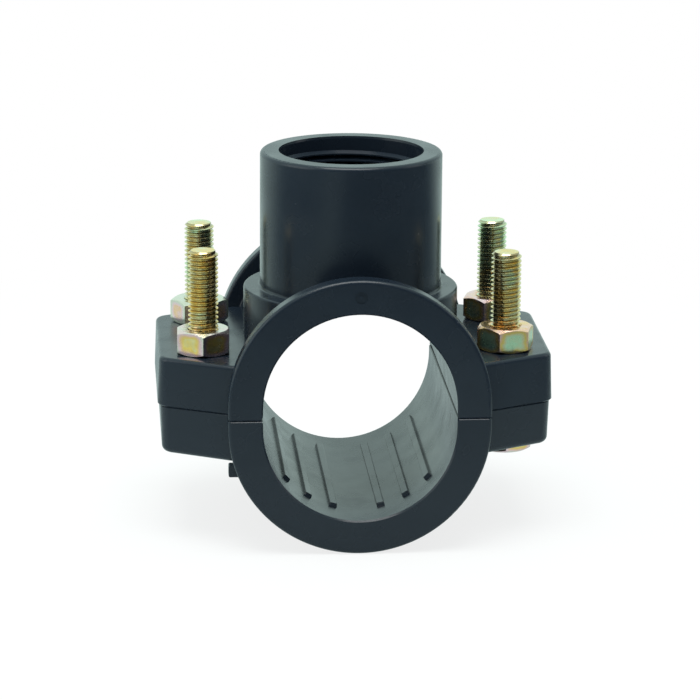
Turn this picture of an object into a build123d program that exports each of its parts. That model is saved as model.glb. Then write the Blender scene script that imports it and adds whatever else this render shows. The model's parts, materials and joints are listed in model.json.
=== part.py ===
"""Tapping saddle: a clamp for a 63 mm plastic pipe with a threaded branch standing on it.

Two moulded halves close round the pipe and four hexagon bolts hold them together. The upper half carries
the branch, and a rubber seal sits round the outlet on the pipe side. Sizes are in millimetres. The origin is
on the pipe's axis at mid length, with Y along the pipe and Z up the branch. The halves meet a little below.
"""

import os
from math import cos, hypot, radians

from build123d import *
from build123d.topology import SkipClean

# Driving dimensions: the pipe, the branch thread and the bolts, each a standard size.
PIPE_RADIUS = 31.5
THREAD_ROOT_RADIUS = 23.9
BOLT_LENGTH = 60.0
BOLT_RADIUS = 4.95
HEX_ACROSS_FLATS = 17.0
HEAD_HEIGHT = 6.4
NUT_HEIGHT = 8.0
NUT_BORE_RADIUS = 5.0

# The ring that both halves make round the pipe.
LENGTH = 98.0
WALL = 5.5
BARREL_RADIUS = PIPE_RADIUS + WALL
FLANGE_RADIUS = 42.8
FLANGE_WIDTH = 7.0
FLANGE_EDGE = 1.3
FLANGE_ROOT = 0.7
UPPER_LEG = 3.4
LOWER_LEG = 2.6
MOUTH_CHAMFER = 0.5
SPLIT_CHAMFER = 0.4

# The lugs of each half, wider at the root than at the outer end. Heights are given as left, right.
LUG_REACH = 65.0
LUG_END_HALF = 28.6
LUG_ROOT_X = 41.5
LUG_ROOT_HALF = 41.2
LUG_CORNER = 5.5
LUG_DRAFT = 2.0
UPPER_LUG_HEIGHTS = (16.2, 16.2)
LOWER_LUG_HEIGHTS = (16.1, 14.7)
LOWER_LUG_REACH = LUG_REACH - 0.8
UPPER_LUG_EDGE = 1.4
LOWER_LUG_EDGE = 2.2
BOLT_X = 49.8
BOLT_Y = 21.0
BOLT_HOLE_RADIUS = 5.5
POCKET_ACROSS_FLATS = HEX_ACROSS_FLATS + 0.5
POCKET_FLOOR = 9.6

# The branch, its foot and the way through it.
BRANCH_TOP = 75.6
BRANCH_RADIUS = 30.2
BRANCH_EDGE = 1.4
FOOT_TOP = 30.0
FOOT_RADIUS = 35.7
FOOT_EDGE = 0.8
BRANCH_ROOT = 1.0
FOOT_ROOT = 1.0
THREAD_DEPTH = 28.0
OUTLET_RADIUS = 20.5
LEAD_IN = 0.8

# The seal round the outlet, in a groove that follows the pipe.
SEAL_INNER_RADIUS = 22.5
SEAL_OUTER_RADIUS = 28.0
SEAL_THICKNESS = 2.6
SEAT_HALF_LENGTH = SEAL_OUTER_RADIUS + 0.5

# Grip ribs inside the lower half, placed by angle from its lowest line.
RIB_ANGLES = (14.5, 31.0, 48.0)
RIB_WIDTH = 2.4
RIB_HEIGHT = 1.0
RIB_LENGTH = 71.0

# Two small marks of the moulding: a round dimple on the front flange, and a tab behind it on the lower half.
DIMPLE_RADIUS = 2.0
DIMPLE_DEPTH = 0.35
DIMPLE_NIB_RADIUS = 0.7
TAB_SIZE = (8.0, 3.4, 4.0)
TAB_REACH = FLANGE_RADIUS - 0.4
TAB_LEVEL = 18.6

BOLT_PLACES = {
    "front_left": (-BOLT_X, -BOLT_Y),
    "front_right": (BOLT_X, -BOLT_Y),
    "rear_left": (-BOLT_X, BOLT_Y),
    "rear_right": (BOLT_X, BOLT_Y),
}
NUT_TURNS = {"front_left": -2, "front_right": -17, "rear_left": 28, "rear_right": -20}
# One bolt hangs a little lower than its pocket's floor, as if it was not yet drawn up.
BOLT_DROPS = {"front_left": 0.0, "front_right": 1.5, "rear_left": 0.0, "rear_right": 0.0}
UPRIGHT = (Align.CENTER, Align.CENTER, Align.MIN)


def arch(radius, leg):
    """End view of one half: a half round on straight legs, standing on the split line."""
    legs = Polyline((-radius, leg), (-radius, 0), (radius, 0), (radius, leg))
    crown = ThreePointArc((radius, leg), (0, radius + leg), (-radius, leg))
    return make_face([*legs.edges(), crown])


def along_pipe(profile, length):
    """The profile run out to both sides along the pipe."""
    return extrude(Plane.XZ * profile, amount=length / 2, both=True)


def flange(leg):
    """One end flange, with both of its outer edges rounded."""
    plate = along_pipe(arch(FLANGE_RADIUS, leg), FLANGE_WIDTH)
    rim = [e for e in plate.edges() if e.bounding_box().size.Y < 0.01 and (e @ 0.5).Z > 0.1]
    return fillet(rim, FLANGE_EDGE)


def lug_plate(reach, height, edge):
    """The plate that carries both lugs of one half, drafted towards its outer face."""
    corners = [
        (reach, -LUG_END_HALF),
        (reach, LUG_END_HALF),
        (LUG_ROOT_X, LUG_ROOT_HALF),
        (-LUG_ROOT_X, LUG_ROOT_HALF),
        (-reach, LUG_END_HALF),
        (-reach, -LUG_END_HALF),
        (-LUG_ROOT_X, -LUG_ROOT_HALF),
        (LUG_ROOT_X, -LUG_ROOT_HALF),
    ]
    plan = make_face(Polyline(*corners, close=True))
    outer = [v for v in plan.vertices() if abs(v.X) > reach - 1]
    plate = extrude(fillet(outer, LUG_CORNER), amount=height, taper=LUG_DRAFT)
    return fillet(plate.faces().sort_by(Axis.Z)[-1].edges(), edge)


def lug_pair(reach, heights, edge):
    """The left and the right lugs, each as high as its half asks."""
    pair = []
    for side, height in zip((-1, 1), heights):
        keep = Pos(side * reach, 0, 0) * Box(2 * reach, 4 * LUG_ROOT_HALF, 4 * height)
        pair.append(lug_plate(reach, height, edge) & keep)
    return pair


def half_body(leg, reach, heights, edge):
    """Barrel, end flanges and lugs of one half, still solid where the pipe goes."""
    body = along_pipe(arch(BARREL_RADIUS, leg), LENGTH - FLANGE_WIDTH)
    for side in (-1, 1):
        body += Pos(0, side * (LENGTH - FLANGE_WIDTH) / 2, 0) * flange(leg)
    back = LENGTH / 2 - FLANGE_WIDTH
    corners = [e for e in body.edges() if on_barrel(e @ 0.5, leg) and abs(abs((e @ 0.5).Y) - back) < 0.01]
    return fillet(corners, FLANGE_ROOT) + lug_pair(reach, heights, edge)


def on_barrel(point, leg):
    """Whether a point lies on the outside of the barrel, above the split line."""
    rise = max(point.Z - leg, 0)
    return point.Z > 0.01 and abs(hypot(point.X, rise) - BARREL_RADIUS) < 0.01


def pipe_way(leg):
    """The space that the pipe takes in one half, opened a little at both mouths."""
    way = along_pipe(arch(PIPE_RADIUS, leg), LENGTH)
    for side in (-1, 1):
        mouth = Plane.XZ.offset(-side * LENGTH / 2) * arch(PIPE_RADIUS + MOUTH_CHAMFER, leg)
        inner = Plane.XZ.offset(-side * (LENGTH / 2 - MOUTH_CHAMFER)) * arch(PIPE_RADIUS, leg)
        way += loft([mouth.face(), inner.face()])
    return way


def pipe_way_in_bands():
    """The pipe's space in the upper half as three lengths: a full land at each end, and the seat between."""
    way = Pos(0, 0, -UPPER_LEG) * pipe_way(UPPER_LEG)
    seat = Box(2 * BARREL_RADIUS, 2 * SEAT_HALF_LENGTH, 2 * BARREL_RADIUS)
    return [*(way - seat).solids(), *(way & seat).solids()]


def at_bolts(tool):
    """A copy of the tool on each bolt's axis."""
    return [Pos(x, y, 0) * tool for x, y in BOLT_PLACES.values()]


def soften_split(half):
    """Breaks the outer edges of a half where it meets the other one, before the pipe's space is cut."""
    seat = half.faces().sort_by(Axis.Z)[0]
    return chamfer(seat.outer_wire().edges(), SPLIT_CHAMFER)


def seal_ring(grow=0.0):
    """A ring round the outlet, curved to the pipe; grow sets how much larger its groove is."""
    shell = along_pipe(Circle(PIPE_RADIUS + SEAL_THICKNESS), LENGTH)
    shell -= along_pipe(Circle(PIPE_RADIUS - grow), LENGTH)
    ring = Cylinder(SEAL_OUTER_RADIUS, FLANGE_RADIUS, align=UPRIGHT)
    ring -= Cylinder(SEAL_INNER_RADIUS, FLANGE_RADIUS, align=UPRIGHT)
    return ring & shell


def branch_body():
    """The branch and the wider foot that it stands on."""
    tube = Cylinder(BRANCH_RADIUS, BRANCH_TOP, align=UPRIGHT)
    tube = fillet(tube.edges().filter_by(GeomType.CIRCLE).sort_by(Axis.Z)[-1], BRANCH_EDGE)
    foot = Cylinder(FOOT_RADIUS, FOOT_TOP, align=UPRIGHT)
    foot = fillet(foot.edges().filter_by(GeomType.CIRCLE).sort_by(Axis.Z)[-1], FOOT_EDGE)
    return tube + foot


def branch_way():
    """The way through the branch: lead-in, thread at its root, and the plain outlet below."""
    thread_foot = BRANCH_TOP - THREAD_DEPTH
    way = Cylinder(OUTLET_RADIUS, BRANCH_TOP, align=UPRIGHT)
    way += Pos(0, 0, thread_foot) * Cylinder(THREAD_ROOT_RADIUS, THREAD_DEPTH, align=UPRIGHT)
    lead = Cone(THREAD_ROOT_RADIUS, THREAD_ROOT_RADIUS + LEAD_IN, LEAD_IN, align=UPRIGHT)
    return way + Pos(0, 0, BRANCH_TOP - LEAD_IN) * lead


def gate_dimple():
    """The shallow round dimple on the front flange, with a nib left standing in its middle."""
    middle = Pos(0, (PIPE_RADIUS + FLANGE_RADIUS) / 2)
    ring = middle * (Circle(DIMPLE_RADIUS) - Circle(DIMPLE_NIB_RADIUS))
    return extrude(Plane.XZ.offset(LENGTH / 2) * ring, amount=-DIMPLE_DEPTH)


def blend_branch(body):
    """Rounds the inner corners where the branch meets its foot, and the foot the barrel and the flanges."""
    rings = body.edges().filter_by(GeomType.CIRCLE)
    step = [e for e in rings if abs(e.radius - BRANCH_RADIUS) < 0.01 and abs((e @ 0.5).Z - FOOT_TOP) < 0.01]
    body = fillet(step, BRANCH_ROOT)
    curved = body.edges().filter_by(GeomType.CIRCLE, reverse=True).filter_by(GeomType.LINE, reverse=True)
    foot = [e for e in curved if abs(hypot((e @ 0.5).X, (e @ 0.5).Y) - FOOT_RADIUS) < 0.2 and (e @ 0.5).Z > 5]
    return fillet(foot, FOOT_ROOT)


def upper_saddle():
    """The upper half, moulded in one piece with the branch."""
    body = Pos(0, 0, -UPPER_LEG) * half_body(UPPER_LEG, LUG_REACH, UPPER_LUG_HEIGHTS, UPPER_LUG_EDGE)
    body = blend_branch(body + branch_body())
    body -= branch_way()
    body -= at_bolts(Cylinder(BOLT_HOLE_RADIUS, 4 * max(UPPER_LUG_HEIGHTS)))
    body -= seal_ring(grow=1.0)
    body -= gate_dimple()
    body = soften_split(body)
    with SkipClean():
        for band in pipe_way_in_bands():
            body -= band
    return body


def grip_ribs():
    """Low ribs along the inside of the lower half, each with sloping ends and sides."""
    bite = 0.6
    rib = extrude(Rectangle(RIB_WIDTH, RIB_LENGTH), amount=RIB_HEIGHT + bite, taper=20)
    seated = Pos(0, 0, PIPE_RADIUS + bite) * Rot(180, 0, 0) * rib
    return [Pos(0, 0, LOWER_LEG) * Rot(0, s * a, 0) * seated for a in RIB_ANGLES for s in (-1, 1)]


def edge_tab():
    """The small tab that stands out beside the front flange, under the left lug."""
    width, depth, height = TAB_SIZE
    tab = Box(width, depth, height)
    tab = fillet(tab.edges().filter_by(Axis.Y).sort_by(Axis.X)[:2], 0.6)
    behind_flange = FLANGE_WIDTH - LENGTH / 2 + depth / 2 - 0.4
    return Pos(width / 2 - TAB_REACH, behind_flange, TAB_LEVEL) * tab


def lower_clamp():
    """The lower half: made upwards from the split, then turned over by a mirror and lowered to its place."""
    body = half_body(LOWER_LEG, LOWER_LUG_REACH, LOWER_LUG_HEIGHTS, LOWER_LUG_EDGE)
    body = soften_split(body) - pipe_way(LOWER_LEG)
    body += [edge_tab(), *grip_ribs()]
    body -= at_bolts(Cylinder(BOLT_HOLE_RADIUS, 4 * max(LOWER_LUG_HEIGHTS)))
    pocket = extrude(hexagon(POCKET_ACROSS_FLATS), amount=max(LOWER_LUG_HEIGHTS))
    body -= at_bolts(Pos(0, 0, POCKET_FLOOR) * pocket)
    return Pos(0, 0, -UPPER_LEG) * mirror(body, about=Plane.XY)


def hexagon(across_flats):
    """A hexagon with its flats facing the pipe and the lug's outer end."""
    return RegularPolygon(across_flats / 2 / cos(radians(30)), 6, rotation=90)


def hex_block(height, both_ends):
    """A hexagon prism standing on z = 0, with its corners turned off at the bottom, or at both ends."""
    turned = Cylinder(HEX_ACROSS_FLATS / 2 / cos(radians(30)), height, align=UPRIGHT)
    rims = turned.edges().filter_by(GeomType.CIRCLE).sort_by(Axis.Z)
    chosen = rims if both_ends else rims[:1]
    turned = chamfer(chosen, length=0.8, length2=1.5)
    return turned & extrude(hexagon(HEX_ACROSS_FLATS), amount=height)


def bolt():
    """A hexagon bolt with its head down and its bearing face at z = 0; the thread is left plain."""
    shank = Cylinder(BOLT_RADIUS, BOLT_LENGTH, align=UPRIGHT)
    shank = chamfer(shank.edges().filter_by(GeomType.CIRCLE).sort_by(Axis.Z)[-1], 1.0)
    return shank + Pos(0, 0, -HEAD_HEIGHT) * hex_block(HEAD_HEIGHT, False)


def nut():
    """A hexagon nut standing on z = 0, with a countersunk bore at both faces."""
    sink = Cone(NUT_BORE_RADIUS + 0.5, NUT_BORE_RADIUS, 0.5, align=UPRIGHT)
    way = Cylinder(NUT_BORE_RADIUS, NUT_HEIGHT, align=UPRIGHT) + sink
    way += Pos(0, 0, NUT_HEIGHT) * Rot(180, 0, 0) * sink
    return hex_block(NUT_HEIGHT, True) - way


def main():
    os.makedirs("parts", exist_ok=True)
    nodes = {
        "upper_saddle": upper_saddle(),
        "lower_clamp": lower_clamp(),
        "outlet_seal": seal_ring(),
    }
    bearing = -POCKET_FLOOR - UPPER_LEG
    lug_top = UPPER_LUG_HEIGHTS[0] - UPPER_LEG
    for place, (x, y) in BOLT_PLACES.items():
        nodes["bolt_" + place] = Pos(x, y, bearing - BOLT_DROPS[place]) * bolt()
        nodes["nut_" + place] = Pos(x, y, lug_top) * Rot(0, 0, NUT_TURNS[place]) * nut()
    for name, solid in nodes.items():
        export_step(solid, f"parts/{name}.step")


main()
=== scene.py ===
# %% [markdown]
# # Dressing a tapping saddle
# A tapping saddle is a clamp for plastic water pipe. Two moulded halves close round the pipe, four
# hexagon bolts draw them together, and a threaded branch on the upper half takes the new connection.
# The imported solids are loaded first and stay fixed, and each visible piece then takes the place of its
# solid. The mouldings keep the solids' form, with smooth shading and a few finer edges. The bolts, nuts
# and threads are made here with bmesh, because a thread is too fine for the solids.

# %% Load the fixed frame
import json
from math import atan2, cos, degrees, hypot, pi, radians, sin, tan

import bmesh
import bpy
from mathutils import Matrix, Vector


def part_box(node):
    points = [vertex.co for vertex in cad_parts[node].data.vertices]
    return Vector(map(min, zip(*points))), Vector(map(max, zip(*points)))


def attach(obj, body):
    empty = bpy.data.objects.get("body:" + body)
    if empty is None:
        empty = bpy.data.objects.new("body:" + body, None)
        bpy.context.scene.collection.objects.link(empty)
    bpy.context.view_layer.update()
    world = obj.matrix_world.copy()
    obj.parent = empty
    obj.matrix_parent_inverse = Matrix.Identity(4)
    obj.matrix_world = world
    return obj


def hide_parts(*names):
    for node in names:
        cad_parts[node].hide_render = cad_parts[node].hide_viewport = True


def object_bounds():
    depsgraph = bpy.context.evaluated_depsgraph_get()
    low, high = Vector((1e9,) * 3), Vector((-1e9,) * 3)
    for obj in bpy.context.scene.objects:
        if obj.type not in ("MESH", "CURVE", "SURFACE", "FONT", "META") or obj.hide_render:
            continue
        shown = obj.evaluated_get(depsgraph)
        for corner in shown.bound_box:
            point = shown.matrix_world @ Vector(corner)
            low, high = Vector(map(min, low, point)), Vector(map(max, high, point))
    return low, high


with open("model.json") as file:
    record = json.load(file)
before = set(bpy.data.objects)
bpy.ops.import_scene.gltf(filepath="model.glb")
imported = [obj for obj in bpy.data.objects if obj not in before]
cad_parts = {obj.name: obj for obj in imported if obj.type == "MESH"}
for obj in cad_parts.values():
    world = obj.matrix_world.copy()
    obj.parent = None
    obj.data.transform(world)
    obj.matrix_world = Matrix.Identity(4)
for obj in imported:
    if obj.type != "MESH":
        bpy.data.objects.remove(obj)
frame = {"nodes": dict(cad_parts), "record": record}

MM = 0.001
cad_box = [list(corner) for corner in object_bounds()]
print("CAD box in mm", [[round(c / MM, 1) for c in corner] for corner in cad_box])

# %% [markdown]
# ## Sizes to build on
# A few sizes of the solids are needed again here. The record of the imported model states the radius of
# the pipe, and that of the branch's wall at the root of its thread, with its mounts. The level where the
# halves meet and the top of the branch are the ends of the upper half's box. Reading them, instead of
# writing them again, keeps the new pieces in step with the solids.

# %% Sizes to build on
mounts = {mount["name"]: mount["dims"] for mount in frame["record"]["mounts"]}
PIPE_RADIUS = mounts["pipe_bore"]["r_mm"] * MM
BRANCH_ROOT_RADIUS = mounts["branch_thread"]["r_mm"] * MM
SPLIT_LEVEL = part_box("upper_saddle")[0][2]
BRANCH_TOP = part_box("upper_saddle")[1][2]
print("pipe radius", round(PIPE_RADIUS / MM, 2), "mm, branch wall", round(BRANCH_ROOT_RADIUS / MM, 2), "mm")
print("split at", round(SPLIT_LEVEL / MM, 2), "mm, branch up to", round(BRANCH_TOP / MM, 2), "mm")

# %% [markdown]
# ## Finishing a piece
# Every new piece ends as a mesh object at the origin, with its place in its vertices, so that it can
# ride on a body of the frame. Shading is smooth, and edges that turn by more than `crisp` degrees stay
# crisp. A Weighted Normal modifier keeps flat faces flat beside their rounded edges, as on a real
# moulding.

# %% Finishing a piece
FLAT_FACE_WEIGHT = 80


def finish_piece(bm, name, material, body, nodes=(), crisp=32):
    """Turns a bmesh into a shaded object that rides on a body and stands for its CAD nodes."""
    mesh = bpy.data.meshes.new(name)
    for face in bm.faces:
        face.smooth = True
    for edge in bm.edges:
        edge.smooth = not (edge.is_manifold and edge.calc_face_angle(0) > radians(crisp))
    bm.to_mesh(mesh)
    bm.free()
    piece = bpy.data.objects.new(name, mesh)
    bpy.context.collection.objects.link(piece)
    mesh.materials.append(material)
    normals = piece.modifiers.new("flat faces stay flat", "WEIGHTED_NORMAL")
    normals.mode = "FACE_AREA"
    normals.weight = FLAT_FACE_WEIGHT
    normals.keep_sharp = True
    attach(piece, body)
    for node in nodes:
        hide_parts(node)
    print(name, len(mesh.polygons), "faces")

# %% [markdown]
# ## Building blocks for the finishes
# A moulded or plated surface is never one flat colour, and noise is the plainest way to say so. Noise on
# Object coordinates stays with the piece when it moves. Its scale is the number of features in a metre,
# so 1000 means one for each millimetre. A stretch below 1 draws the features out along that axis.

# %% A material and its noise
def new_material(name):
    """An empty node material with its output and one Principled shader."""
    material = bpy.data.materials.new(name)
    material.use_nodes = True
    tree = material.node_tree
    tree.nodes.clear()
    out = tree.nodes.new("ShaderNodeOutputMaterial")
    shader = tree.nodes.new("ShaderNodeBsdfPrincipled")
    tree.links.new(shader.outputs["BSDF"], out.inputs["Surface"])
    return material, tree, shader


def object_noise(tree, per_metre, detail=3.0, rough=0.5, stretch=(1, 1, 1), distortion=0.0):
    """Noise on Object coordinates, with so many features in a metre."""
    place = tree.nodes.new("ShaderNodeTexCoord")
    mapping = tree.nodes.new("ShaderNodeMapping")
    mapping.inputs["Scale"].default_value = stretch
    noise = tree.nodes.new("ShaderNodeTexNoise")
    noise.inputs["Scale"].default_value = per_metre
    noise.inputs["Detail"].default_value = detail
    noise.inputs["Roughness"].default_value = rough
    noise.inputs["Distortion"].default_value = distortion
    tree.links.new(place.outputs["Object"], mapping.inputs["Vector"])
    tree.links.new(mapping.outputs["Vector"], noise.inputs["Vector"])
    return noise.outputs["Fac"]

# %% [markdown]
# Noise is turned into a colour by a ramp and into a value by a range. Most of it lies between 0.3 and
# 0.7, so those are the usual ends of the range that is mapped. A layer of bumps has a height, a strength
# and a distance, and each layer builds on the one before it.

# %% Ramps, ranges and bumps
def ramp(tree, factor, stops):
    """A colour ramp over a factor; stops are (position, linear colour)."""
    node = tree.nodes.new("ShaderNodeValToRGB")
    elements = node.color_ramp.elements
    while len(elements) < len(stops):
        elements.new(0.5)
    for element, (position, colour) in zip(elements, stops):
        element.position = position
        element.color = (*colour, 1)
    tree.links.new(factor, node.inputs["Fac"])
    return node.outputs["Color"]


def spread(tree, factor, low, high, start=0.3, stop=0.7):
    """Maps a factor from start..stop to low..high, and holds it there beyond both ends."""
    node = tree.nodes.new("ShaderNodeMapRange")
    node.inputs["From Min"].default_value = start
    node.inputs["From Max"].default_value = stop
    node.inputs["To Min"].default_value = low
    node.inputs["To Max"].default_value = high
    tree.links.new(factor, node.inputs["Value"])
    return node.outputs["Result"]


def bumps(tree, shader, layers):
    """Stacks bump layers of (height, strength, distance) on a shader's normal."""
    normal = None
    for height, strength, distance in layers:
        node = tree.nodes.new("ShaderNodeBump")
        node.inputs["Strength"].default_value = strength
        node.inputs["Distance"].default_value = distance
        tree.links.new(height, node.inputs["Height"])
        if normal:
            tree.links.new(normal, node.inputs["Normal"])
        normal = node.outputs["Normal"]
    tree.links.new(normal, shader.inputs["Normal"])

# %% [markdown]
# ## Black moulded plastic
# The halves are black polypropylene, cool in tone. The melt leaves wide flow marks in its colour and
# faint streaks along the pipe. Its gloss varies by smudges of about a centimetre, and its skin is a
# little wavy, with a fine grain. The specular level is low, so that faces turned to the viewer stay
# black, while faces seen at a flat angle still shine, as those of the real plastic do.

# %% Black moulded plastic
plastic, tree, shader = new_material("black_moulded_plastic")
flow = object_noise(tree, per_metre=30, detail=2, stretch=(1, 0.6, 1.4), distortion=0.6)
tone = ramp(tree, flow, [(0.20, (0.0090, 0.0140, 0.0230)), (0.80, (0.0134, 0.0200, 0.0300))])
tree.links.new(tone, shader.inputs["Base Color"])
smudge = object_noise(tree, per_metre=95)
gloss = spread(tree, smudge, low=0.17, high=0.34, start=0.15, stop=0.85)
tree.links.new(gloss, shader.inputs["Roughness"])
shader.inputs["Specular IOR Level"].default_value = 0.33
streaks = object_noise(tree, per_metre=420, rough=0.6, stretch=(1, 0.16, 1))
skin = object_noise(tree, per_metre=260, detail=2)
grain = object_noise(tree, per_metre=2600, detail=2)
bumps(tree, shader, [(streaks, 0.10, 0.10 * MM), (skin, 0.07, 0.10 * MM), (grain, 0.14, 0.03 * MM)])
print(plastic.name, len(tree.nodes), "nodes")

# %% [markdown]
# ## Yellow zinc plating
# The bolts and nuts are steel with yellow zinc plating. Its thin chromate film turns green, gold, orange
# and pink as it gets thicker, so a film thickness is worked out first and then looked up in a ramp of
# those colours. That takes two more building blocks: an attribute that the mesh carries, and arithmetic.

# %% Attributes and arithmetic
def attribute(tree, name, output="Fac"):
    """One of the piece's own attributes."""
    node = tree.nodes.new("ShaderNodeAttribute")
    node.attribute_name = name
    return node.outputs[output]


def calculate(tree, operation, *values):
    """A math node over links or numbers."""
    node = tree.nodes.new("ShaderNodeMath")
    node.operation = operation
    for socket, value in zip(node.inputs, values):
        if isinstance(value, (int, float)):
            socket.default_value = value
        else:
            tree.links.new(value, socket)
    return node.outputs[0]

# %% [markdown]
# Three things add up to the film's thickness: `bath`, which differs from piece to piece, `rim`, which
# says how near a flat's border a point is, and a cloud of noise a few millimetres wide. The flats carry
# their own coordinates in `flat_place`, and a rounded square over them gives the nearness to the border.
# A square with a power of 4 has rounded corners, like the worn border of a flat.

# %% Thickness of the film
zinc, tree, shader = new_material("yellow_zinc_plating")
SQUARE_POWER = 4.0
CLOUD_SHARE = 0.55

flat_place = tree.nodes.new("ShaderNodeSeparateXYZ")
tree.links.new(attribute(tree, "flat_place", "Vector"), flat_place.inputs[0])
across, along = [
    calculate(tree, "POWER", calculate(tree, "ABSOLUTE", flat_place.outputs[axis]), SQUARE_POWER)
    for axis in ("X", "Y")
]
reach = calculate(tree, "POWER", calculate(tree, "ADD", across, along), 1 / SQUARE_POWER)
rim = spread(tree, reach, low=0.0, high=0.46, start=0.50, stop=1.0)
cloud = calculate(tree, "MULTIPLY", object_noise(tree, per_metre=190, distortion=0.8), CLOUD_SHARE)
thickness = calculate(tree, "ADD", calculate(tree, "ADD", attribute(tree, "bath"), rim), cloud)
print("film thickness from", len(tree.nodes), "nodes")

# %% [markdown]
# The root of a thread is painted darker and browner than its crest, as painted shade in the groove, and
# `root` carries how near a point is to it. The metal itself is bright, with wiped patches in its gloss
# and fine scratches along the bolt.

# %% Colour and gloss of the plating
ROOT_SHADE_SHARE = 0.85
iridescent = ramp(tree, thickness, [
    (0.20, (0.64, 0.90, 0.58)),
    (0.36, (0.82, 0.75, 0.44)),
    (0.50, (0.94, 0.64, 0.17)),
    (0.64, (0.94, 0.58, 0.34)),
    (0.80, (0.92, 0.62, 0.66)),
    (1.00, (0.74, 0.72, 0.60)),
])
# Painted shade: the colour is mixed towards a dark brown at the root of the thread, where the groove lies
# in shade.
root_shaded = tree.nodes.new("ShaderNodeMix")
root_shaded.data_type = "RGBA"
root_shaded.inputs["B"].default_value = (0.36, 0.27, 0.18, 1)
root_shade_here = calculate(tree, "MULTIPLY", attribute(tree, "root"), ROOT_SHADE_SHARE)
tree.links.new(root_shade_here, root_shaded.inputs["Factor"])
tree.links.new(iridescent, root_shaded.inputs["A"])
tree.links.new(root_shaded.outputs["Result"], shader.inputs["Base Color"])
shader.inputs["Metallic"].default_value = 1.0
wiped = object_noise(tree, per_metre=420, detail=4, rough=0.6)
tree.links.new(spread(tree, wiped, low=0.16, high=0.30), shader.inputs["Roughness"])
scratches = object_noise(tree, per_metre=900, stretch=(1, 1, 0.12))
bumps(tree, shader, [(scratches, 0.10, 0.02 * MM)])
print(zinc.name, len(tree.nodes), "nodes")

# %% [markdown]
# ## Seal rubber
# The seal is soft black rubber: warmer and much duller than the plastic, with a fine matt tooth. One
# noise serves both its colour and its gloss, because the dust that greys rubber also dulls it.

# %% Seal rubber
rubber, tree, shader = new_material("seal_rubber")
dust = object_noise(tree, per_metre=240, detail=4)
dusty = ramp(tree, dust, [(0.3, (0.016, 0.016, 0.015)), (0.7, (0.030, 0.029, 0.027))])
tree.links.new(dusty, shader.inputs["Base Color"])
tree.links.new(spread(tree, dust, low=0.62, high=0.80), shader.inputs["Roughness"])
tooth = object_noise(tree, per_metre=3200, detail=2)
bumps(tree, shader, [(tooth, 0.3, 0.03 * MM)])
print(rubber.name, len(tree.nodes), "nodes")

# %% [markdown]
# ## The mouldings' meshes
# Both halves are injection moulded, and all of their form is in the solids: barrel, end flanges, drafted
# lugs, and the branch on its foot. They could be modelled again, but that would only repeat the work, so
# a copy of each solid's mesh is taken instead. Its triangles are loose. Merging its doubles joins them,
# and smooth shading can then bring back the round surfaces.

# %% A merged copy of a solid's mesh
JOIN_DISTANCE = 0.002 * MM
SLIVER_LENGTH = 0.0005 * MM


def merged_copy(node):
    """A bmesh of a CAD node with its loose triangles joined; the node itself isn't touched."""
    bm = bmesh.new()
    bm.from_mesh(frame["nodes"][node].data)
    before = len(bm.verts)
    bmesh.ops.remove_doubles(bm, verts=bm.verts, dist=JOIN_DISTANCE)
    bmesh.ops.dissolve_degenerate(bm, edges=bm.edges, dist=SLIVER_LENGTH)
    print(node, before, "->", len(bm.verts), "vertices")
    return bm

# %% [markdown]
# ## Broken edges at the split
# No edge of a moulding is perfectly sharp. The two long inner edges of each half catch the light and show
# where the halves meet. They are found by where they lie, and Bevel takes one facet off each. Its clamp
# is off, so that narrow triangles beside the edges can't shrink the facet.

# %% Broken edges at the split
TOUCHING = 0.01 * MM
INNER_EDGE_END = 48.6 * MM


def on_split_edge(vert):
    """Whether a vertex lies on one of the two long inner edges at the split."""
    x, y, z = vert.co
    beside_pipe = abs(abs(x) - PIPE_RADIUS) < TOUCHING
    return beside_pipe and abs(z - SPLIT_LEVEL) < TOUCHING and abs(y) < INNER_EDGE_END


def break_split_edges(bm, width):
    """Bevels the two long inner edges of a half at the split."""
    chosen = [edge for edge in bm.edges if all(on_split_edge(vert) for vert in edge.verts)]
    bmesh.ops.bevel(bm, geom=chosen, offset=width, offset_type="OFFSET", affect="EDGES",
                    segments=1, profile=0.5, material=-1, clamp_overlap=False)
    print(len(chosen), "edges at the split")

# %% [markdown]
# ## The upper half
# The upper half gets the wider facet at the split. The mouth of its branch has a sharper inner edge than
# the solid, as the mould's core leaves it, so the circle where the mouth meets the top is drawn in. Its
# points are moved one by one. An operator would also renew the normals of the faces, and then the line
# below the mouth would no longer count as crisp.

# %% The upper half
UPPER_SPLIT_BEVEL = 1.5 * MM
MOUTH_RADIUS = 24.7 * MM
SHARP_MOUTH_RADIUS = 24.05 * MM
MOUTH_LIMIT = 25 * MM

bm = merged_copy("upper_saddle")
break_split_edges(bm, UPPER_SPLIT_BEVEL)
moved = 0
for vert in bm.verts:
    if abs(vert.co.z - BRANCH_TOP) < TOUCHING and hypot(vert.co.x, vert.co.y) < MOUTH_LIMIT:
        vert.co.xy *= SHARP_MOUTH_RADIUS / MOUTH_RADIUS
        moved += 1
print(moved, "points of the mouth drawn in")
finish_piece(bm, "upper_half", plastic, "saddle_half", ["upper_saddle"])

# %% [markdown]
# ## The lower half and the seal
# The lower half only gets a narrow facet at the split. The seal is a ring of rubber round the outlet,
# held in a groove of the upper half, and its solid needs nothing but smooth shading.

# %% The lower half and the seal
LOWER_SPLIT_BEVEL = 0.8 * MM
bm = merged_copy("lower_clamp")
break_split_edges(bm, LOWER_SPLIT_BEVEL)
finish_piece(bm, "lower_half", plastic, "clamp_half", ["lower_clamp"])
bm = merged_copy("outlet_seal")
finish_piece(bm, "rubber_seal", rubber, "saddle_half", ["outlet_seal"])

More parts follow.
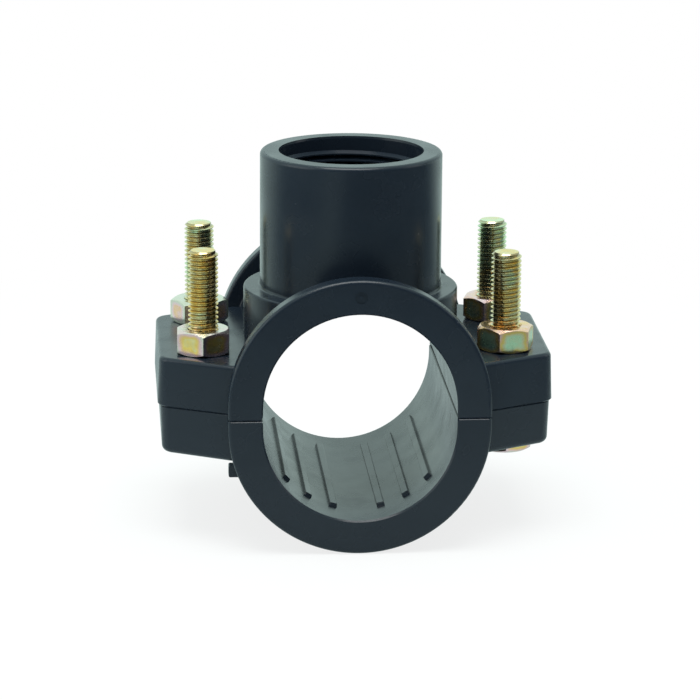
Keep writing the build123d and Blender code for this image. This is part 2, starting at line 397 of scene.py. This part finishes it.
# %% [markdown]
# ## Grip ribs
# Six low ribs inside the lower half bite into the pipe. Each is a bar with a flat top, steep sides and
# sloping ends. A cube is stretched, its top face is drawn in, its edges are softened, and it is swung
# about the middle of the lower round to its place. It covers the plainer rib of the solid, and its foot
# is sunk in the wall, so that no gap shows.

# %% One grip rib
LOWER_ROUND_RISE = 42.8 * MM
ROUND_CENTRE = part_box("lower_clamp")[0][2] + LOWER_ROUND_RISE
RIB_SIZE = Vector((2.9, 72.2, 1.7)) * MM
RIB_TOP_SHARE = (0.80, 0.972, 1)
RIB_EDGE = 0.24 * MM
RIB_TOP = PIPE_RADIUS - 1.03 * MM


def grip_rib(angle):
    """One rib, swung round the pipe from its lowest line."""
    bm = bmesh.new()
    bmesh.ops.create_cube(bm, size=1.0)
    bmesh.ops.scale(bm, vec=RIB_SIZE, verts=bm.verts)
    bmesh.ops.scale(bm, vec=RIB_TOP_SHARE, verts=[v for v in bm.verts if v.co.z > 0])
    bmesh.ops.bevel(bm, geom=bm.edges[:], offset=RIB_EDGE, offset_type="OFFSET", affect="EDGES",
                    segments=3, profile=0.5, material=-1, clamp_overlap=True)
    bmesh.ops.translate(bm, verts=bm.verts, vec=(0, 0, -RIB_TOP - RIB_SIZE.z / 2))
    bmesh.ops.rotate(bm, cent=(0, 0, 0), matrix=Matrix.Rotation(radians(angle), 3, "Y"), verts=bm.verts)
    bmesh.ops.translate(bm, verts=bm.verts, vec=(0, 0, ROUND_CENTRE))
    return bm


print("lower round centred at", round(ROUND_CENTRE / MM, 2), "mm")

# %% [markdown]
# The ribs stand in pairs, left and right of the lowest line. They are one object, because they are part
# of one moulding. A bmesh takes in another one by way of a mesh, and a small helper does that.

# %% All six ribs
RIB_ANGLES = (14.5, 31.0, 48.0)


def take_in(bm, other):
    """Adds another bmesh to a bmesh, and frees the other one."""
    mesh = bpy.data.meshes.new("taken_in")
    other.to_mesh(mesh)
    other.free()
    bm.from_mesh(mesh)
    bpy.data.meshes.remove(mesh)


ribs = bmesh.new()
for angle in RIB_ANGLES:
    for side in (-1, 1):
        take_in(ribs, grip_rib(side * angle))
finish_piece(ribs, "grip_ribs", plastic, "clamp_half")

# %% [markdown]
# ## Screwing a thread
# A thread is a small outline screwed round an axis. A Screw modifier could make it, but Spin does it
# inside bmesh, when each of its steps also climbs by its share of the pitch. The outline starts a little
# behind the wall or core that it stands on, so that no gap shows, and its two ends are closed.

# %% Screwing a thread
def ridge(behind, root, crest, foot, half_root, half_crest):
    """The outline of a thread: from behind the root out to a flat crest and back again."""
    lower = [(behind, foot - half_root), (root, foot - half_root), (crest, foot - half_crest)]
    upper = [(crest, foot + half_crest), (root, foot + half_root), (behind, foot + half_root)]
    return lower + upper


def helix(bm, outline, pitch, turns, steps):
    """Screws an open outline of (radius, height) points upwards round Z and closes its two ends."""
    verts = [bm.verts.new((radius, 0, height)) for radius, height in outline]
    edges = [bm.edges.new(pair) for pair in zip(verts, verts[1:])]
    made = bmesh.ops.spin(bm, geom=verts + edges, cent=(0, 0, 0), axis=(0, 0, 1),
                          dvec=(0, 0, pitch / steps), angle=2 * pi * turns,
                          steps=round(steps * turns), use_merge=False,
                          use_normal_flip=False, use_duplicate=False)
    last = [v for v in made["geom_last"] if isinstance(v, bmesh.types.BMVert)]
    bmesh.ops.contextual_create(bm, geom=verts)
    bmesh.ops.contextual_create(bm, geom=last)

# %% [markdown]
# ## The branch thread
# The mould's core leaves a female thread in the branch, below a plain lead-in. Its pitch is that of a
# G 1 1/2 pipe thread, 11 to the inch. The ridge points inwards from the root, which is the wall that the
# solid has, to a narrow flat crest. Its normals are recalculated, because Spin can turn them inwards.

# %% The branch thread
BRANCH_CREST_RADIUS = 22.4 * MM
BRANCH_PITCH = 2.309 * MM
LEAD_DEPTH = 4.2 * MM
THREAD_DEPTH = 27.6 * MM
BRANCH_SUNK = 0.15 * MM
BRANCH_STEPS = 96
half_root = 0.46 * BRANCH_PITCH
half_crest = 0.10 * BRANCH_PITCH

turns = int((THREAD_DEPTH - LEAD_DEPTH) / BRANCH_PITCH)
foot = BRANCH_TOP - LEAD_DEPTH - turns * BRANCH_PITCH
outline = ridge(BRANCH_ROOT_RADIUS + BRANCH_SUNK, BRANCH_ROOT_RADIUS, BRANCH_CREST_RADIUS, foot,
                half_root, half_crest)
bm = bmesh.new()
helix(bm, outline, BRANCH_PITCH, turns, BRANCH_STEPS)
bmesh.ops.recalc_face_normals(bm, faces=bm.faces)
finish_piece(bm, "branch_thread", plastic, "saddle_half", crisp=50)
print("branch thread", turns, "turns, from", round(foot / MM, 1), "mm up")

# %% [markdown]
# ## Turned blanks
# A nut or a bolt head starts as a piece turned on a lathe. Spin turns an outline once round the axis, and
# merging its doubles closes the seam and the points on the axis.

# %% Turned blanks
SEAM_DISTANCE = 0.001 * MM


def lathe(bm, outline, steps):
    """Spins an outline of (radius, height) points once round the Z axis."""
    verts = [bm.verts.new((radius, 0, height)) for radius, height in outline]
    edges = [bm.edges.new(pair) for pair in zip(verts, verts[1:])]
    bmesh.ops.spin(bm, geom=verts + edges, cent=(0, 0, 0), axis=(0, 0, 1), dvec=(0, 0, 0),
                   angle=2 * pi, steps=steps, use_merge=True, use_normal_flip=False,
                   use_duplicate=False)
    bmesh.ops.remove_doubles(bm, verts=bm.verts, dist=SEAM_DISTANCE)
    bmesh.ops.recalc_face_normals(bm, faces=bm.faces)

# %% [markdown]
# ## Hexagons
# Six cuts then make the flats of a blank with chamfered rims, and so the arcs where the chamfer meets
# each flat come out by themselves. Bisect Plane makes each cut, and its open side is filled. A head is
# chamfered below only. A nut is chamfered at both ends, and so is its bore. The flats are 17 mm apart,
# a standard size for M10.

# %% Hexagon blanks
ACROSS_FLATS = 17 * MM
CORNER_RADIUS = ACROSS_FLATS / 2 / cos(radians(30))
CHAMFER_RISE = 1.0 * MM
CHAMFER_RUN = 1.7 * MM
BORE_CHAMFER = 0.5 * MM
HEXAGON_STEPS = 96
CUT_PRECISION = 0.0001 * MM
CORNER_DISTANCE = 0.005 * MM


def cut_flat(bm, facing):
    """Cuts one flat that faces a direction, and closes it."""
    cut = bmesh.ops.bisect_plane(bm, geom=bm.verts[:] + bm.edges[:] + bm.faces[:], dist=CUT_PRECISION,
                                 plane_co=facing * ACROSS_FLATS / 2, plane_no=facing, clear_outer=True)
    border = [e for e in cut["geom_cut"] if isinstance(e, bmesh.types.BMEdge)]
    bmesh.ops.contextual_create(bm, geom=border)


def hexagon_blank(low, high, turn, bore=0.0, both_ends=False):
    """A hexagon with turned rims between two heights, with its flats cut at the given turn."""
    bm = bmesh.new()
    rim = CORNER_RADIUS - CHAMFER_RUN
    outline = [(bore, low), (rim, low), (CORNER_RADIUS, low + CHAMFER_RISE)]
    if bore:
        outline = [(bore, low + BORE_CHAMFER), (bore + BORE_CHAMFER, low)] + outline[1:]
    if both_ends:
        outline += [(CORNER_RADIUS, high - CHAMFER_RISE), (rim, high)]
    else:
        outline += [(CORNER_RADIUS, high)]
    if bore:
        outline += [(bore + BORE_CHAMFER, high), (bore, high - BORE_CHAMFER), outline[0]]
    else:
        outline += [(0, high)]
    lathe(bm, outline, HEXAGON_STEPS)
    for k in range(6):
        angle = turn + k * pi / 3
        cut_flat(bm, Vector((cos(angle), sin(angle), 0)))
    bmesh.ops.remove_doubles(bm, verts=bm.verts, dist=CORNER_DISTANCE)
    bmesh.ops.recalc_face_normals(bm, faces=bm.faces)
    return bm


print("hexagons", round(2 * CORNER_RADIUS / MM, 2), "mm across corners")

# %% [markdown]
# ## Soft edges, and coordinates on the flats
# A narrow bevel softens the crisp edges. Each flat then carries its own coordinates in `flat_place`, from
# -1 to 1 across and along it, so that its film can change towards the border. They are stored on the
# corners of faces, because neighbouring faces share their vertices. All other faces count as border.

# %% Soft edges, and coordinates on the flats
CRISP_TURN = radians(20)
LEAST_FLAT_AREA = 30 * MM * MM
UPRIGHT = 0.1
BORDER_PLACE = (0.9, 0.9, 0)


def soften_edges(bm, width):
    """Bevels the crisp edges of a hexagon."""
    crisp = [e for e in bm.edges if e.is_manifold and e.calc_face_angle(0) > CRISP_TURN]
    bmesh.ops.bevel(bm, geom=crisp, offset=width, offset_type="OFFSET", affect="EDGES",
                    segments=3, profile=0.5, material=-1, clamp_overlap=True)


def mark_flats(bm, low, high):
    """Writes each flat's own coordinates on the corners of its faces."""
    layer = bm.loops.layers.float_vector.new("flat_place")
    for face in bm.faces:
        is_flat = face.calc_area() > LEAST_FLAT_AREA and abs(face.normal.z) < UPRIGHT
        sideways = face.normal.cross(Vector((0, 0, 1)))
        for loop in face.loops:
            across = loop.vert.co.dot(sideways) / (CORNER_RADIUS / 2)
            along = (2 * loop.vert.co.z - low - high) / (high - low)
            loop[layer] = (across, along, 0) if is_flat else BORDER_PLACE

# %% [markdown]
# ## Plating bath and thread root
# The other two things that the plating reads are stored on the vertices. `bath` is one number for the
# whole piece. `root` is 1 where the thread's ridge meets the core, 0 at its crest, and 0 on all else, and
# it sets where the painted shade of the thread's groove falls.

# %% Plating bath and thread root
def mark_plating(bm, bath, core=None, crest=None):
    """Writes the plating bath of a piece, and how near each point is to the root of the thread."""
    bath_layer = bm.verts.layers.float.new("bath")
    root_layer = bm.verts.layers.float.new("root")
    for vert in bm.verts:
        vert[bath_layer] = bath
        if core:
            depth = (crest - hypot(vert.co.x, vert.co.y)) / (crest - core)
            vert[root_layer] = min(1.0, max(0.0, depth))

# %% [markdown]
# ## The bolts' thread
# The bolts are M10 and threaded all the way. The thread is a ridge on a thinner core, with an angle of
# 60 degrees between its flanks and a crest an eighth of the pitch wide. Near the tip it is turned down to
# the chamfer, and it is cut flat just below the tip.

# %% The bolts' thread
BOLT_PITCH = 1.5 * MM
BOLT_CREST = 4.95 * MM
BOLT_ROOT = 4.08 * MM
BOLT_SUNK = 0.1 * MM
BOLT_STEPS = 40
THREAD_START = 1.5 * MM
TIP_CHAMFER = 1.0 * MM
TIP_GAP = 0.02 * MM


def bolt_thread(bearing, high):
    """The ridge from just above the bearing face of the head to the tip."""
    bm = bmesh.new()
    foot = bearing + THREAD_START
    half_crest = BOLT_PITCH / 16
    half_root = (BOLT_CREST - BOLT_ROOT) * tan(radians(30)) + half_crest
    outline = ridge(BOLT_ROOT - BOLT_SUNK, BOLT_ROOT, BOLT_CREST, foot, half_root, half_crest)
    helix(bm, outline, BOLT_PITCH, (high - foot) / BOLT_PITCH, BOLT_STEPS)
    for vert in bm.verts:
        limit = BOLT_CREST - max(0.0, vert.co.z - (high - TIP_CHAMFER))
        radius = hypot(vert.co.x, vert.co.y)
        if radius > limit:
            vert.co.xy *= limit / radius
    bmesh.ops.bisect_plane(bm, geom=bm.verts[:] + bm.edges[:] + bm.faces[:], dist=CUT_PRECISION,
                           plane_co=(0, 0, high - TIP_GAP), plane_no=(0, 0, 1), clear_outer=True)
    bmesh.ops.recalc_face_normals(bm, faces=bm.faces)
    return bm


print("bolt thread", round((BOLT_CREST - BOLT_ROOT) / MM, 2), "mm deep")

# %% [markdown]
# ## Bolts
# The heads sit in hexagon pockets below the lugs, which keep them from turning, and the tips point up. A
# bolt is a hexagon head, a lathed core and the ridge in one mesh. Places and heights are read from the
# boxes of the solids, so the bolt that hangs low stays low. Each bolt has its own value for the bath,
# because no two come out of it alike.

# %% Bolts
HEAD_HEIGHT = 6.4 * MM
HEAD_EDGE = 0.35 * MM
CORE_SUNK = 1 * MM
CORE_STEPS = 48
BOLT_BATH = {"front_left": 0.17, "front_right": 0.13, "rear_left": 0.07, "rear_right": 0.04}


def bolt_shape(low, high, bath):
    """A bolt on the Z axis, from the bottom of its head to its tip."""
    bearing = low + HEAD_HEIGHT
    bm = hexagon_blank(low, bearing, turn=0.0)
    soften_edges(bm, HEAD_EDGE)
    mark_flats(bm, low, bearing)
    core = [(0, bearing - CORE_SUNK), (BOLT_ROOT, bearing - CORE_SUNK), (BOLT_ROOT, high - TIP_CHAMFER),
            (BOLT_CREST - TIP_CHAMFER, high), (0, high)]
    lathe(bm, core, CORE_STEPS)
    mark_plating(bm, bath)
    thread = bolt_thread(bearing, high)
    mark_plating(thread, bath, BOLT_ROOT, BOLT_CREST)
    take_in(bm, thread)
    return bm


def bolt_axis(place):
    """Where a bolt's axis stands, from the middle of its solid's box."""
    low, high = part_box("bolt_" + place)
    return Vector(((low[0] + high[0]) / 2, (low[1] + high[1]) / 2, 0))


for place, bath in BOLT_BATH.items():
    node = "bolt_" + place
    low, high = [corner[2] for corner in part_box(node)]
    bm = bolt_shape(low, high, bath)
    bmesh.ops.translate(bm, verts=bm.verts, vec=bolt_axis(place))
    finish_piece(bm, "hex_" + node, zinc, "clamp_half", [node], crisp=40)
    print(node, "from", round(low / MM, 1), "to", round(high / MM, 1), "mm")

# %% [markdown]
# ## Nuts
# Each nut was run down by hand and stopped at its own turn. The turn is read from the solid: its points
# farthest from the bolt's axis are its corners, and a flat faces a twelfth of a turn away from a corner.

# %% Nuts
NUT_BORE = 5.0 * MM
NUT_EDGE = 0.45 * MM
NUT_BATH = {"front_left": 0.20, "front_right": -0.08, "rear_left": 0.40, "rear_right": 0.02}


def turn_of_flats(node, axis):
    """The turn of a nut's flats, from 0 to 60 degrees."""
    points = [v.co - axis for v in frame["nodes"][node].data.vertices]
    corner = max(points, key=lambda p: hypot(p.x, p.y))
    return (atan2(corner.y, corner.x) - pi / 6) % (pi / 3)


for place, bath in NUT_BATH.items():
    node = "nut_" + place
    low, high = [corner[2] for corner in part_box(node)]
    axis = bolt_axis(place)
    turn = turn_of_flats(node, axis)
    bm = hexagon_blank(low, high, turn, bore=NUT_BORE, both_ends=True)
    soften_edges(bm, NUT_EDGE)
    mark_flats(bm, low, high)
    mark_plating(bm, bath)
    bmesh.ops.translate(bm, verts=bm.verts, vec=axis)
    finish_piece(bm, "hex_" + node, zinc, node + "_body", [node], crisp=40)
    print(node, "turned", round(degrees(turn), 1), "degrees")

# %% [markdown]
# ## Floor
# The saddle stands on a pale floor that is far wider than the view. The floor is a filled circle just
# below the saddle's lowest point, so that the two don't share a plane.

# %% Floor
FLOOR_RADIUS = 6.0
FLOOR_GAP = 0.05 * MM
floor_level = cad_box[0][2] - FLOOR_GAP
bm = bmesh.new()
bmesh.ops.create_circle(bm, cap_ends=True, radius=FLOOR_RADIUS, segments=64)
bmesh.ops.translate(bm, verts=bm.verts, vec=(0, 0, floor_level))
floor_mesh = bpy.data.meshes.new("floor")
bm.to_mesh(floor_mesh)
bm.free()
floor = bpy.data.objects.new("floor", floor_mesh)
bpy.context.collection.objects.link(floor)
print("floor at", round(floor_level / MM, 2), "mm")

# %% [markdown]
# ## What the floor shows in gloss
# Black plastic has hardly any colour of its own and looks like what it reflects. In reflections the floor
# is bright close to the saddle, to the rear and in a band on the left, and it gets dim in front. So faces
# that look forwards stay black, and round ones get pale sides. The map is made from how far a point of
# the floor lies from the middle, to the rear and to the left.

# %% What the floor shows in gloss
STUDIO_TINT = (0.78, 1.00, 0.95)
pale = bpy.data.materials.new("pale_floor")
pale.use_nodes = True
tree = pale.node_tree
tree.nodes.clear()
place = tree.nodes.new("ShaderNodeTexCoord").outputs["Object"]


def towards(tree, vector, direction):
    """How far a point or a direction lies towards the given direction."""
    node = tree.nodes.new("ShaderNodeVectorMath")
    node.operation = "DOT_PRODUCT"
    node.inputs[1].default_value = direction
    tree.links.new(vector, node.inputs[0])
    return node.outputs["Value"]


length = tree.nodes.new("ShaderNodeVectorMath")
length.operation = "LENGTH"
tree.links.new(place, length.inputs[0])
from_middle = length.outputs["Value"]
near = spread(tree, from_middle, low=0.74, high=0.16, start=0.20, stop=0.44)
rearwards = towards(tree, place, (-0.12, 0.99, 0))
rear = spread(tree, rearwards, low=0.0, high=1.0, start=0.05, stop=0.32)
leftwards = towards(tree, place, (-1, 0, 0))
left_begins = spread(tree, leftwards, low=0.0, high=1.0, start=0.12, stop=0.22)
left_fades = spread(tree, leftwards, low=1.0, high=0.25, start=0.28, stop=0.35)
left = calculate(tree, "MULTIPLY", left_begins, left_fades)
bright = calculate(tree, "MAXIMUM", near, calculate(tree, "MAXIMUM", rear, left))
in_gloss = ramp(tree, bright, [(0.0, (0, 0, 0)), (0.30, (0.19, 0.28, 0.32)), (1.0, STUDIO_TINT)])
print("floor in gloss from", len(tree.nodes), "nodes")

# %% [markdown]
# ## The pale floor
# To the eye the floor is plain white, and a lit floor that is mixed in round the saddle keeps a soft
# shadow there. Light Path tells the kinds of ray apart. The eye sees white, reflections see the map
# above, and scattered light sees the lit floor alone, so the white adds no light of its own.

# %% The pale floor
ray = tree.nodes.new("ShaderNodeLightPath")
colour = tree.nodes.new("ShaderNodeMix")
colour.data_type = "RGBA"
colour.inputs["B"].default_value = (1, 1, 1, 1)
tree.links.new(ray.outputs["Is Camera Ray"], colour.inputs["Factor"])
tree.links.new(in_gloss, colour.inputs["A"])
glow = tree.nodes.new("ShaderNodeEmission")
tree.links.new(colour.outputs["Result"], glow.inputs["Color"])
lit = tree.nodes.new("ShaderNodeBsdfDiffuse")
lit.inputs["Color"].default_value = (0.82, 0.82, 0.82, 1)

seen = ray.outputs["Is Camera Ray"]
for kind in ("Is Glossy Ray", "Is Transmission Ray"):
    seen = calculate(tree, "MAXIMUM", seen, ray.outputs[kind])
fade = spread(tree, from_middle, low=0.80, high=1.0, start=0.08, stop=0.36)
mix = tree.nodes.new("ShaderNodeMixShader")
tree.links.new(calculate(tree, "MULTIPLY", fade, seen), mix.inputs["Fac"])
tree.links.new(lit.outputs[0], mix.inputs[1])
tree.links.new(glow.outputs[0], mix.inputs[2])
out = tree.nodes.new("ShaderNodeOutputMaterial")
tree.links.new(mix.outputs[0], out.inputs["Surface"])
floor_mesh.materials.append(pale)
print(pale.name, len(tree.nodes), "nodes")

# %% [markdown]
# ## Room
# The room is white to the eye. In reflections, and as a source of light, it is a studio that is white
# to the rear and overhead and gets dark in front, behind the viewer, which again keeps the black faces
# black. A ramp over the direction makes it.

# %% Room
BRIGHT_SIDE = (-0.30, 0.75, 0.60)
world = bpy.data.worlds.new("white_studio")
bpy.context.scene.world = world
world.use_nodes = True
tree = world.node_tree
tree.nodes.clear()
direction = tree.nodes.new("ShaderNodeTexCoord").outputs["Generated"]
aim = spread(tree, towards(tree, direction, BRIGHT_SIDE), low=0, high=1, start=-1.0, stop=1.0)
studio = ramp(tree, aim, [
    (0.08, (0.030, 0.042, 0.055)),
    (0.35, (0.13, 0.180, 0.210)),
    (0.60, (0.60, 0.78, 0.74)),
    (0.80, STUDIO_TINT),
])
room = tree.nodes.new("ShaderNodeBackground")
tree.links.new(studio, room.inputs["Color"])
plain = tree.nodes.new("ShaderNodeBackground")
plain.inputs["Color"].default_value = (1, 1, 1, 1)
ray = tree.nodes.new("ShaderNodeLightPath")
mix = tree.nodes.new("ShaderNodeMixShader")
tree.links.new(ray.outputs["Is Camera Ray"], mix.inputs["Fac"])
tree.links.new(room.outputs[0], mix.inputs[1])
tree.links.new(plain.outputs[0], mix.inputs[2])
out = tree.nodes.new("ShaderNodeOutputWorld")
tree.links.new(mix.outputs[0], out.inputs["Surface"])
print(world.name, len(tree.nodes), "nodes")

# %% [markdown]
# ## Light
# A large soft box hangs overhead, a little to the front, and draws the highlights on the rounded top
# edges. Two weak ones to the left and right give the bolts and nuts their bright flats. Area lights are
# right here, because a small lamp would cast hard shadows and leave sharp dots on round edges.

# %% Soft boxes
AIM_POINT = Vector((0, 0, 0.02))


def soft_box(name, place, size, power):
    """A rectangular area light that faces the object."""
    data = bpy.data.lights.new(name, "AREA")
    data.shape = "RECTANGLE"
    data.size, data.size_y = size
    data.energy = power
    lamp = bpy.data.objects.new(name, data)
    lamp.location = place
    lamp.rotation_euler = (AIM_POINT - Vector(place)).to_track_quat("-Z", "Y").to_euler()
    bpy.context.collection.objects.link(lamp)
    print(name, power, "W")


soft_box("box_top", (-0.05, -0.30, 1.2), size=(0.85, 0.70), power=12.0)
soft_box("box_left", (-1.05, -0.25, 0.45), size=(0.8, 0.9), power=2.5)
soft_box("box_right", (1.1, -0.1, 0.5), size=(0.5, 0.8), power=1.2)

# %% [markdown]
# ## Camera
# A long lens from far off, a little to the left of the pipe's end and a little above, looks along the
# pipe's axis and into the mouth of the branch. Its place comes from two angles and a distance, which are
# easier to adjust than three coordinates.

# %% Camera
AZIMUTH = radians(-4.29)
ELEVATION = radians(14.67)
DISTANCE = 1.150
ROLL = radians(0.40)
TARGET = Vector((0.00005, 0.0, 0.0072))
away = Vector((sin(AZIMUTH) * cos(ELEVATION), -cos(AZIMUTH) * cos(ELEVATION), sin(ELEVATION)))
camera_data = bpy.data.cameras.new("camera")
camera_data.sensor_width = 36
camera_data.lens = 176.2
camera = bpy.data.objects.new("camera", camera_data)
bpy.context.collection.objects.link(camera)
camera.location = TARGET + away * DISTANCE
facing = (-away).to_track_quat("-Z", "Y")
camera.rotation_euler = (facing @ Matrix.Rotation(ROLL, 4, "Z").to_quaternion()).to_euler()
bpy.context.scene.camera = camera
bpy.context.scene.view_settings.view_transform = "Standard"
print("camera at", [round(c, 3) for c in camera.location])
